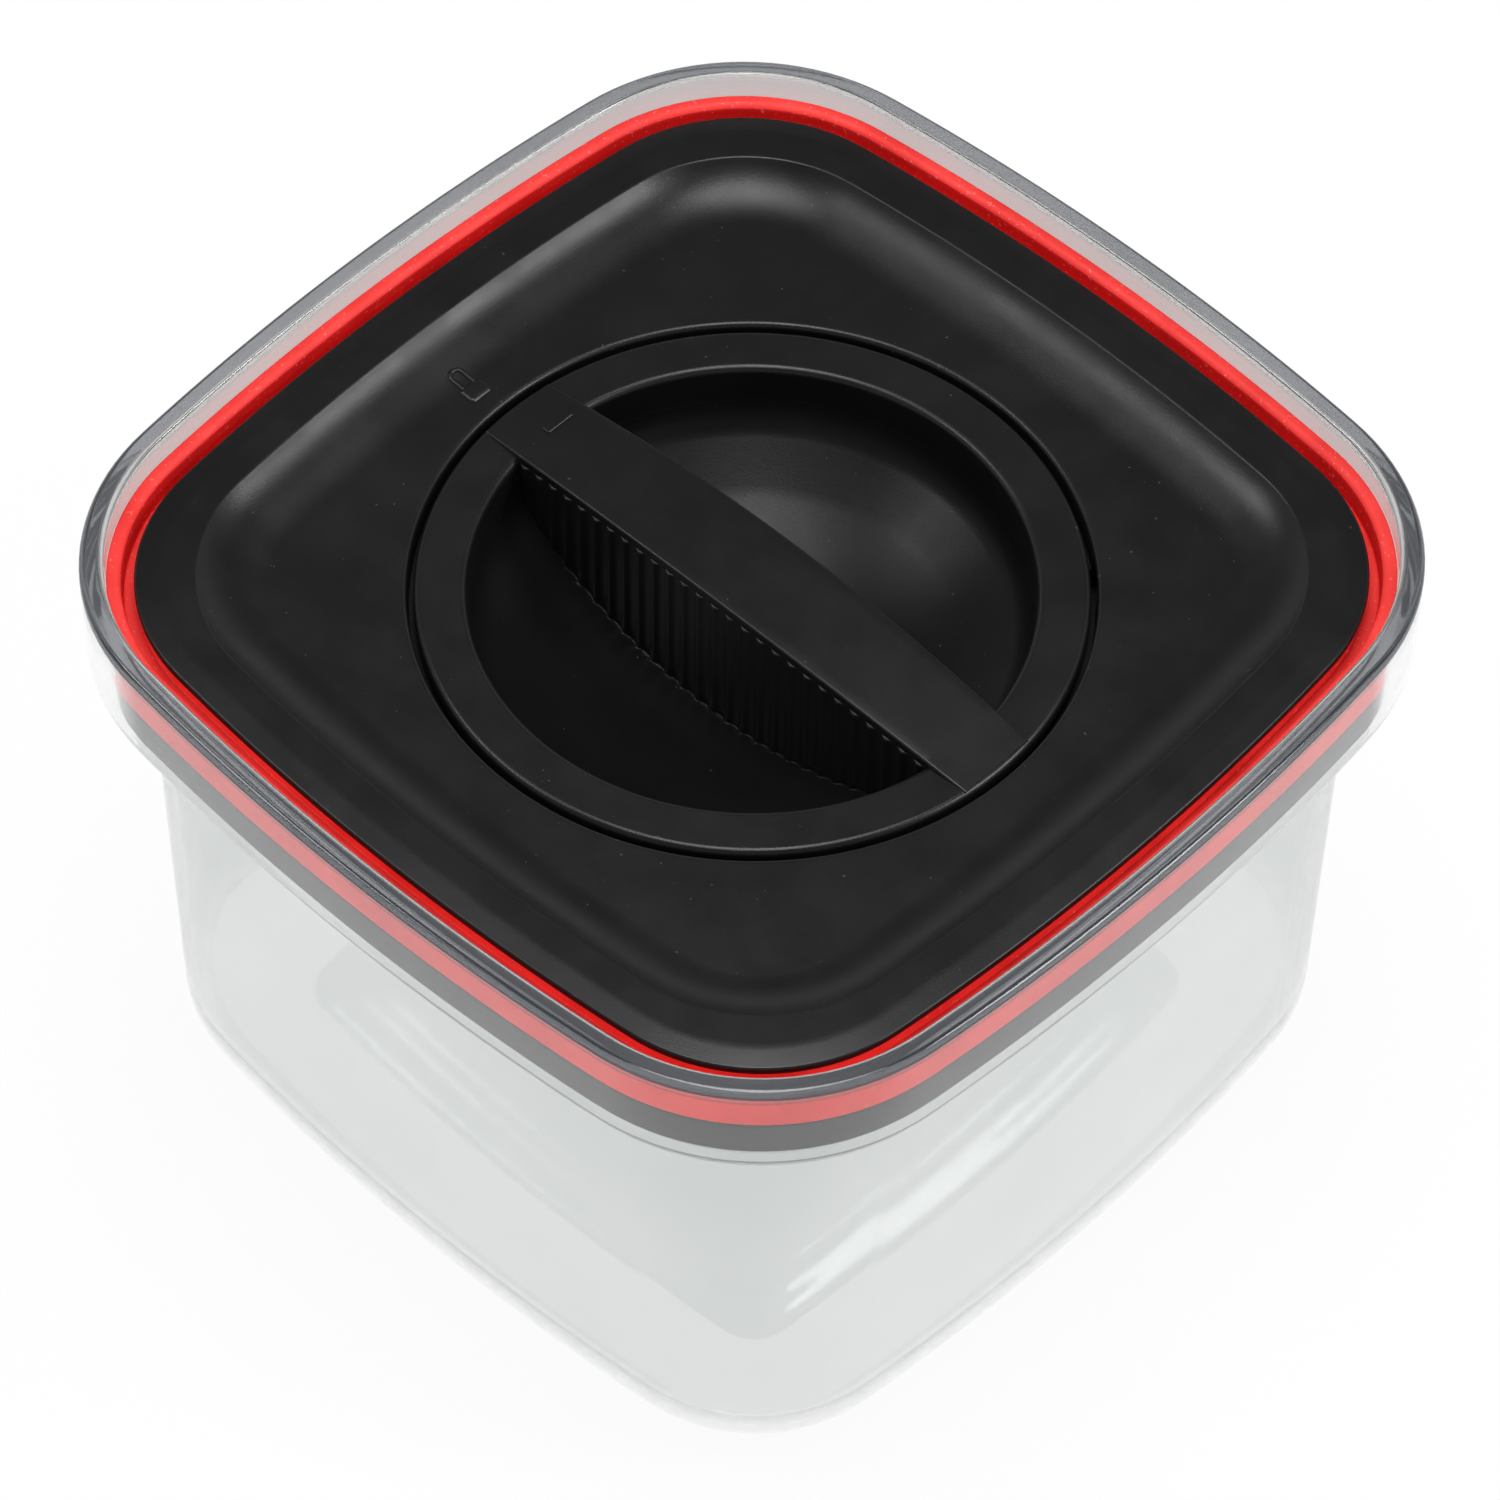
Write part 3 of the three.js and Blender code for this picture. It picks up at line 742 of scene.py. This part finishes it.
# level of the bowl's floor at a distance out from the axis, or of its underside one skin lower
def bowlFloorAt(size, out, skin=0.0):
    edge = size["bowl"] - size["taper"]
    rise = size["depth"] - size["wallDepth"]
    toCentre = (edge ** 2 + rise ** 2) / (2 * rise)
    centre = levels["dish"] - size["depth"] + toCentre
    return centre - math.sqrt((toCentre + skin) ** 2 - out ** 2)


def makeKnob(size):
    steps = size["floorSteps"]
    floorEdge = size["bowl"] - size["taper"]
    under = [size["cup"] * step / steps for step in range(1, steps + 1)]
    inside = [floorEdge * step / steps for step in range(steps - size["roundTakes"], 0, -1)]
    line = roundedLine([
        *[(out, bowlFloorAt(size, out, size["skin"]), 0.0) for out in under],
        (size["cup"], size["under"], size["cupRound"]),
        (size["radius"], size["under"], size["underRound"]),
        (size["radius"], levels["dish"], size["edgeRound"]),
        (size["bowl"], levels["dish"], size["bowlEdge"]),
        (floorEdge, bowlFloorAt(size, floorEdge), size["floorRound"]),
        *[(out, bowlFloorAt(size, out), 0.0) for out in inside],
    ])
    rows = [circleRow(out, level, steps=size["steps"]) for out, level in line]
    ends = [pole(bowlFloorAt(size, 0.0, size["skin"])), pole(bowlFloorAt(size, 0.0))]
    return skinMesh("knob_bowl", [ends[0], *rows, ends[1]])


# each boss ends inside the bowl's skin
def makeBosses(size):
    bosses = []
    for index in range(size["bossCount"]):
        angle = math.radians(size["bossTurn"] + index * 360 / size["bossCount"])
        spot = (size["bossPlace"] * math.cos(angle), size["bossPlace"] * math.sin(angle))
        rows = [circleRow(size["bossRadius"], size["bossEnd"], spot) for _ in range(2)]
        for point in rows[1]:
            point.z = bowlFloorAt(size, math.hypot(point.x, point.y), size["skin"] / 2)
        root = bowlFloorAt(size, size["bossPlace"], size["skin"] / 2)
        bosses.append(skinMesh("boss", [pole(size["bossEnd"], spot), *rows, pole(root, spot)]))
    return joinMeshes("bosses", bosses)


# grip bar: crowned along its length, wider in the middle, with upright ribs down its sides
barSizes = {
    "halfLength": 41.2, "crownLength": 41.9, "crown": round(knobHigh[2] - levels["dish"], 2),
    "middleHalf": 6.75, "endHalf": 5.65, "endStations": (36.6, 38.0, 39.6),
    "edgeRound": 0.35, "edgeLand": 0.05, "roundSteps": 5, "topShares": (0.75, 0.4, 0.0),
    "ribStart": 1.25, "ribPitch": 2.6, "ribOut": 0.36, "ribSpan": 35.1, "ribSamples": 10,
    "footRound": 0.35, "footRoom": 0.5, "sink": 1.0, "floorEnd": 34.9, "wallSlope": 5.0, "weld": 0.004,
}
# out and up along the small round at the bar's foot, in shares of its radius
footCurve = ((1.0, -0.4), (1.0, 0.0), (0.62, 0.08), (0.29, 0.29), (0.08, 0.62), (0.0, 1.0))


def makeBar(size):
    span, sink = size["ribSpan"], size["sink"]
    count = round(2 * span / size["ribPitch"] * size["ribSamples"])
    ends = [*size["endStations"], size["halfLength"]]
    stations = [-x for x in reversed(ends)]
    stations += [-span + 2 * span * k / count for k in range(count + 1)]
    stations += ends

    def halfWidth(x):
        return size["middleHalf"] - (size["middleHalf"] - size["endHalf"]) * (x / size["crownLength"]) ** 2

    def top(x):
        return levels["dish"] + size["crown"] * (1 - (x / size["crownLength"]) ** 2)

    def rib(x):
        if abs(x) > span:
            return 0.0
        wave = 0.5 - 0.5 * math.cos(2 * math.pi * (x + span) / size["ribPitch"])
        return size["ribOut"] * wave ** 2

    # the bar is sunk into the bowl's floor, and past the floor into its wall
    def foot(x, y):
        out = math.hypot(x, y)
        past = out - size["floorEnd"]
        if past < 0:
            return bowlFloorAt(knobSizes, out) - sink
        climb = bowlFloorAt(knobSizes, size["floorEnd"]) - sink + past * size["wallSlope"]
        return min(levels["dish"] - sink, climb)

    def row(place):
        points = [Vector(place(x, 1)) for x in stations]
        return points + [Vector(place(x, -1)) for x in reversed(stations)]

    def sunk(share, ribShare):
        def place(x, side):
            y = share * halfWidth(x) + ribShare * rib(x)
            return (x, side * y, foot(x, y))

        return row(place)

    def flare(out, up):
        reach = size["footRound"]

        def place(x, side):
            y = halfWidth(x) + rib(x)
            level = foot(x, y) + sink + up * reach
            return (x, side * (y + out * reach), min(level, top(x) - size["ribStart"] - size["footRoom"]))

        return row(place)

    def ribbed(share, drop):
        def place(x, side):
            level = max(top(x) - drop, foot(x, halfWidth(x)))
            return (x, side * (halfWidth(x) + share * rib(x)), level)

        return row(place)

    def edge(inward, drop):
        return row(lambda x, side: (x, side * (halfWidth(x) - inward), top(x) - drop))

    def crest(share):
        return row(lambda x, side: (x, side * share * halfWidth(x), top(x)))

    edgeRound, ribOut = size["edgeRound"], size["ribOut"]
    quarter = [math.radians(90.0 / size["roundSteps"] * step) for step in range(size["roundSteps"] + 1)]
    rows = [sunk(0.0, 0.0), sunk(0.5, 0.0), sunk(1.0, 1.0)]
    rows += [flare(out, up) for out, up in footCurve]
    rows += [ribbed(math.cos(a), size["ribStart"] + ribOut * (1 - math.sin(a))) for a in quarter]
    rows.append(edge(0.0, edgeRound + size["edgeLand"]))
    rows += [edge(edgeRound * (1 - math.cos(a)), edgeRound * (1 - math.sin(a))) for a in quarter]
    rows += [crest(share) for share in size["topShares"]]
    bar = skinMesh("bar", rows)
    cleanMesh(bar, size["weld"])
    return bar


# the bowl is less glossy than the ring round it
def knobFinishAt(face):
    below = face.center.z < (levels["dish"] - knobSizes["mattBelow"]) * mm
    within = face.center.xy.length < knobSizes["bowl"] * mm
    return bowlBlack if below and within and face.normal.z > knobSizes["mattTilt"] else satinBlack


knobBowl = makeKnob(knobSizes)
carve(knobBowl, makeBar(barSizes), "UNION")
carve(knobBowl, makeBosses(knobSizes), "UNION")
finishSurface(knobBowl)
settle(knobBowl, "knob", "satin_black", satinBlack, "twist_knob")
dressFaces(knobBowl, knobFinishAt, bowlBlack)
print("knob made:", len(knobBowl.data.polygons), "faces")

# hub cap: closes the sleeve from below
capSizes = {
    "outer": capHigh[0], "bottom": capLow[2], "outerRound": 0.8, "floorTop": 57.1, "floorEdge": 0.3,
    "spigot": 40.8, "spigotFoot": 0.2, "grooveFoot": 39.0, "grooveLow": 58.05, "grooveHigh": 60.25,
    "grooveEdge": 0.15, "grooveRound": 0.2, "top": capHigh[2], "topRound": 0.4, "spigotInner": 36.8,
    "innerRound": 0.5, "panel": 34.0, "panelRise": 0.5, "panelLand": 1.0, "panelSlope": 0.4,
    "panelRound": 0.4, "middle": 4.0, "steps": 192,
}


def makeCap(size):
    panelLevel = size["bottom"] + size["panelRise"]
    line = roundedLine([
        (size["panel"] - size["panelLand"], panelLevel, 0.0),
        (size["panel"], panelLevel, size["panelRound"]),
        (size["panel"] + size["panelSlope"], size["bottom"], size["panelRound"]),
        (size["outer"], size["bottom"], size["outerRound"]),
        (size["outer"], size["floorTop"], size["floorEdge"]),
        (size["spigot"], size["floorTop"], size["spigotFoot"]),
        (size["spigot"], size["grooveLow"], size["grooveEdge"]),
        (size["grooveFoot"], size["grooveLow"], size["grooveRound"]),
        (size["grooveFoot"], size["grooveHigh"], size["grooveRound"]),
        (size["spigot"], size["grooveHigh"], size["grooveEdge"]),
        (size["spigot"], size["top"], size["topRound"]),
        (size["spigotInner"], size["top"], size["topRound"]),
        (size["spigotInner"], size["floorTop"], size["innerRound"]),
        (size["middle"], size["floorTop"], 0.0),
    ])
    rows = [circleRow(out, level, steps=size["steps"]) for out, level in line]
    return skinMesh("hub_cover", [pole(panelLevel), *rows, pole(size["floorTop"])])


hubCover = makeCap(capSizes)
finishSurface(hubCover)
settle(hubCover, "press_plate", "inner_black", innerBlack, "hub_cap")
print("hub cap made")

# raised signs start a little inside the face that carries them
signSink = 0.15
strokeWeld = 0.01
# shares of the way inward and of the rise, from a stroke's side to its crest
strokeCurve = ((0.0, 0.2), (0.3, 0.55), (0.65, 0.9), (1.0, 1.0))


# a low raised stroke along a line on a face whose height is levelAt
def makeStroke(name, points, levelAt, width, rise):
    path = [Vector(p) for p in points]
    left, right = [], []
    for index, point in enumerate(path):
        before = path[max(index - 1, 0)]
        after = path[min(index + 1, len(path) - 1)]
        way = (after - before).normalized()
        aside = Vector((-way.y, way.x)) * width / 2
        left.append(point + aside)
        right.append(point - aside)
    loop = left + right[::-1]
    middle = path + path[::-1]
    steps = [(1.0, -signSink), (0.0, -signSink)]
    steps += [(inward, rise * share) for inward, share in strokeCurve]
    rows = []
    for inward, height in steps:
        flat = [p.lerp(m, inward) for p, m in zip(loop, middle)]
        rows.append([Vector((*p, levelAt(p) + height)) for p in flat])
    stroke = skinMesh(name, rows)
    cleanMesh(stroke, strokeWeld)
    return stroke


# closed padlock sign on the dish beside the locked end of the bar: a raised body and its shackle
lockSizes = {
    "near": -45.7, "far": -48.4, "middle": -1.62, "half": 1.75, "corner": 0.5, "leastCorner": 0.04,
    "cornerSteps": 6, "top": -51.5, "bowHalf": 0.95, "bowRoot": 0.3, "bowSteps": 12,
    "width": 0.7, "rise": 0.3,
}
# inward and up along the rounded edge of the padlock's body
lockCurve = ((0.0, 0.06), (0.12, 0.17), (0.28, 0.26), (0.48, lockSizes["rise"]))


def makeLock(size):
    centre = Vector(((size["near"] + size["far"]) / 2, size["middle"]))
    reach = Vector(((size["near"] - size["far"]) / 2, size["half"]))
    rows = []
    for inward, height in ((0.0, -signSink), *lockCurve):
        radius = max(size["corner"] - inward, size["leastCorner"])
        row = []
        for quarter, (signX, signY) in enumerate(((1, 1), (-1, 1), (-1, -1), (1, -1))):
            for step in range(size["cornerSteps"] + 1):
                angle = math.pi / 2 * (quarter + step / size["cornerSteps"])
                row.append(Vector((
                    centre.x + signX * (reach.x - inward - radius) + radius * math.cos(angle),
                    centre.y + signY * (reach.y - inward - radius) + radius * math.sin(angle),
                    levels["dish"] + height,
                )))
        rows.append(row)
    ends = [pole(levels["dish"] + height, centre) for height in (-signSink, size["rise"])]
    body = skinMesh("lock_body", [ends[0], *rows, ends[1]])
    bow, top = size["bowHalf"], size["top"] + size["width"] / 2
    root = size["far"] + size["bowRoot"]
    arch = [(root, size["middle"] - bow)]
    for step in range(size["bowSteps"] + 1):
        angle = math.pi * step / size["bowSteps"]
        arch.append((top + bow - bow * math.sin(angle), size["middle"] - bow * math.cos(angle)))
    arch.append((root, size["middle"] + bow))
    shackle = makeStroke(
        "shackle", arch, lambda p: levels["dish"] + coveRise(coverSizes, -p.x), size["width"], size["rise"]
    )
    return joinMeshes("lock_mark", [body, shackle])


lockMark = makeLock(lockSizes)
finishSurface(lockMark)
settle(lockMark, "lid", "satin_black", satinBlack)

# index line across the locked end of the bar
turnSizes = {"at": -34.95, "low": -0.6, "high": 3.5, "tick": 1.0, "width": 0.4, "rise": 0.22}


def makeTurnMark(size):
    crown = barSizes["crown"] * (1 - (size["at"] / barSizes["crownLength"]) ** 2)
    level = levels["dish"] + crown
    corner = (size["at"], size["low"])
    strokes = []
    for end in ((size["at"], size["high"]), (size["at"] - size["tick"], size["low"])):
        strokes.append(makeStroke("stroke", [corner, end], lambda p: level, size["width"], size["rise"]))
    return joinMeshes("turn_mark", strokes)


turnMark = makeTurnMark(turnSizes)
finishSurface(turnMark)
settle(turnMark, "knob", "satin_black", satinBlack)
print("signs made")

# inner works keep their own solids
innerFinishes = {
    "slip_ring": paleAcetal, "cam_drum": paleAcetal, "cap_ring": greyRubber,
    "drum_screw_": screwSteel, "follower_pin_": screwSteel,
}
for nodeName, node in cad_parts.items():
    for start, finish in innerFinishes.items():
        if nodeName.startswith(start):
            node.data.materials.clear()
            node.data.materials.append(finish)
print("inner works finished")

# studio sizes in metres; the ceiling's dimming starts and ends at these upward parts of a ray
stageLook = {
    "floorSize": 8.0, "floorLevel": -0.0004, "floorColour": (0.82, 0.82, 0.82), "whiteShare": 0.94,
    "backdrop": 0.55, "ceiling": 0.07, "ceilingFrom": 0.2, "ceilingFull": 0.6, "fill": 0.6,
}
white = (1.0, 1.0, 1.0, 1.0)


def rays(wire, kind):
    return wire.add("ShaderNodeLightPath", {}, {}, f"Is {kind} Ray")


# pale floor that looks white to the camera and in gloss or glass, and still takes the shadow
def makeFloor(look):
    half = look["floorSize"] / 2
    shape = bmesh.new()
    corners = [(-half, -half), (half, -half), (half, half), (-half, half)]
    shape.faces.new([shape.verts.new((x, y, look["floorLevel"])) for x, y in corners])
    floor = placeMesh("floor", shape)
    finish, wire = newFinish("pale_floor")
    seen = rays(wire, "Camera") + rays(wire, "Glossy") + rays(wire, "Transmission")
    seen = wire.add("ShaderNodeClamp", {}, {"Value": seen}, "Result")
    plain = wire.add("ShaderNodeBsdfDiffuse", {}, {"Color": opaque(look["floorColour"])}, "BSDF")
    bright = wire.add("ShaderNodeEmission", {}, {"Color": white, "Strength": 1.0}, "Emission")
    mixed = wire.add("ShaderNodeMixShader", {}, {0: seen * look["whiteShare"], 1: plain, 2: bright})
    wire.add("ShaderNodeOutputMaterial", {}, {"Surface": mixed})
    floor.data.materials.append(finish)


# the room: a white backdrop low down, a dimmer ceiling above it
def makeWorld(look):
    world = bpy.data.worlds.new("studio")
    bpy.context.scene.world = world
    world.use_nodes = True
    world.node_tree.nodes.clear()
    wire = Wire(world.node_tree)
    way = wire.add("ShaderNodeTexCoord", {}, {}, "Generated")
    upward = wire.add("ShaderNodeSeparateXYZ", {}, {"Vector": way}, "Z")
    share = wire.add(
        "ShaderNodeMapRange", {"interpolation_type": "SMOOTHSTEP"},
        {"Value": upward, "From Min": look["ceilingFrom"], "From Max": look["ceilingFull"],
         "To Min": look["backdrop"], "To Max": look["ceiling"]},
        "Result",
    )
    camera, passed, gloss = [rays(wire, kind) for kind in ("Camera", "Transmission", "Glossy")]
    plain = 1 - camera - passed - gloss
    strength = camera + passed + gloss * share + plain * look["fill"]
    room = wire.add("ShaderNodeBackground", {}, {"Color": white, "Strength": strength}, "Background")
    wire.add("ShaderNodeOutputWorld", {}, {"Surface": room})


makeFloor(stageLook)
makeWorld(stageLook)

# soft boxes: place and size in metres, power in watts
lampSizes = {
    "top_box": {"place": (0.0, 0.0, 1.15), "size": (0.5, 0.5), "power": 6.2},
    "left_box": {"place": (-0.614, -0.419, 1.0), "size": (0.36, 0.3), "power": 2.4},
    "right_box": {"place": (0.62, 0.42, 0.755), "size": (0.3, 0.27), "power": 3.4},
}
lampAim = Vector((0, 0, 0.07))
for lampName, lamp in lampSizes.items():
    light = bpy.data.lights.new(lampName, "AREA")
    light.shape = "RECTANGLE"
    light.size, light.size_y = lamp["size"]
    light.energy = lamp["power"]
    holder = bpy.data.objects.new(lampName, light)
    holder.location = lamp["place"]
    aim = lampAim - Vector(lamp["place"])
    holder.rotation_euler = aim.to_track_quat("-Z", "Y").to_euler()
    holder.visible_camera = False
    bpy.context.collection.objects.link(holder)

# angles in degrees, distance from the rim's middle and aim height in metres, lens and sensor in millimetres
cameraPlace = {
    "azimuth": 43.297, "elevation": 50.138, "distance": 0.89803, "aimHeight": 0.0518, "roll": 0.8,
    "lens": 175.07, "sensor": 36.0, "clipStart": 0.01,
}


def makeCamera(size):
    data = bpy.data.cameras.new("camera")
    data.sensor_width = size["sensor"]
    data.lens = size["lens"]
    data.clip_start = size["clipStart"]
    camera = bpy.data.objects.new("camera", data)
    around, above = math.radians(size["azimuth"]), math.radians(size["elevation"])
    flat = math.cos(above)
    back = Vector((math.sin(around) * flat, -math.cos(around) * flat, math.sin(above)))
    spot = Vector((0, 0, levels["rim"] * mm)) + back * size["distance"]
    look = Vector((0, 0, size["aimHeight"])) - spot
    roll = Matrix.Rotation(math.radians(size["roll"]), 3, "Z")
    facing = look.to_track_quat("-Z", "Y").to_matrix() @ roll
    camera.matrix_world = Matrix.Translation(spot) @ facing.to_4x4()
    bpy.context.collection.objects.link(camera)
    bpy.context.scene.camera = camera


makeCamera(cameraPlace)
bpy.context.scene.view_settings.view_transform = "Standard"
print("studio ready")

bpy.context.view_layer.update()
